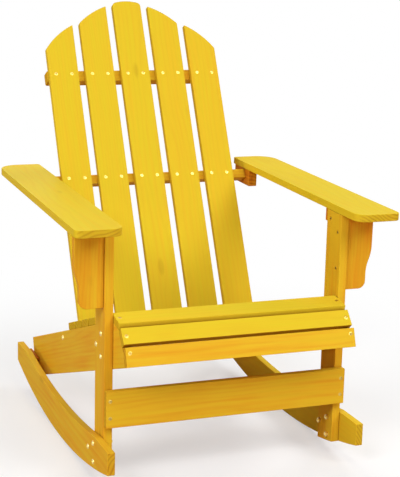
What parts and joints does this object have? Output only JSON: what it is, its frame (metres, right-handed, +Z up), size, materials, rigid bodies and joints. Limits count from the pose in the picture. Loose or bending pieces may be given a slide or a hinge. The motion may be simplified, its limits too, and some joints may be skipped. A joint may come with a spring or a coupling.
{
  "type": "rocking chair",
  "caption": "Slatted wooden rocking chair with a reclined fan-topped back, a sloping slatted seat, flat arms on brackets and curved rockers.",
  "frame": {"origin": "middle of the chair's base, on the floor, with the empty chair at rest on its rockers", "axes": "+Z up, -Y the way the sitter faces, +X to the right as seen from the front"},
  "size_m": [0.7, 0.8323, 0.9475],
  "materials": {
    "stained_wood": "yellow stained softwood, satin",
    "screw_brass": "yellow zinc plated, bright",
    "bolt_steel": "zinc plated, bright"
  },
  "bodies": {
    "root": {"apron": "stained_wood", "apron_screws": "screw_brass", "arm_back_rail": "stained_wood", "arm_block_left": "stained_wood", "arm_block_right": "stained_wood", "arm_bracket_left": "stained_wood", "arm_bracket_right": "stained_wood", "arm_cleat_left": "stained_wood", "arm_cleat_right": "stained_wood", "arm_left": "stained_wood", "arm_rail_screws": "screw_brass", "arm_right": "stained_wood", "back_rail_bolts": "bolt_steel", "back_screws": "screw_brass", "back_slat_1": "stained_wood", "back_slat_2": "stained_wood", "back_slat_3": "stained_wood", "back_slat_4": "stained_wood", "back_slat_5": "stained_wood", "block_arm_screws": "screw_brass", "bracket_screws": "screw_brass", "cleat_arm_screws": "screw_brass", "cleat_screws": "screw_brass", "fore_slat": "stained_wood", "front_stretcher": "stained_wood", "leg_bolts": "bolt_steel", "leg_left": "stained_wood", "leg_nuts": "bolt_steel", "leg_right": "stained_wood", "lower_back_rail": "stained_wood", "nose_slat": "stained_wood", "rear_spacer_left": "stained_wood", "rear_spacer_right": "stained_wood", "rocker_bolts": "bolt_steel", "rocker_left": "stained_wood", "rocker_nuts": "bolt_steel", "rocker_right": "stained_wood", "seat_rail_left": "stained_wood", "seat_rail_right": "stained_wood", "seat_screws": "screw_brass", "seat_slat_1": "stained_wood", "seat_slat_2": "stained_wood", "seat_slat_3": "stained_wood", "seat_slat_4": "stained_wood", "seat_slat_5": "stained_wood", "seat_slat_6": "stained_wood", "spacer_screws": "screw_brass", "stretcher_screws": "screw_brass", "upper_back_rail": "stained_wood"}
  },
  "joints": []
}
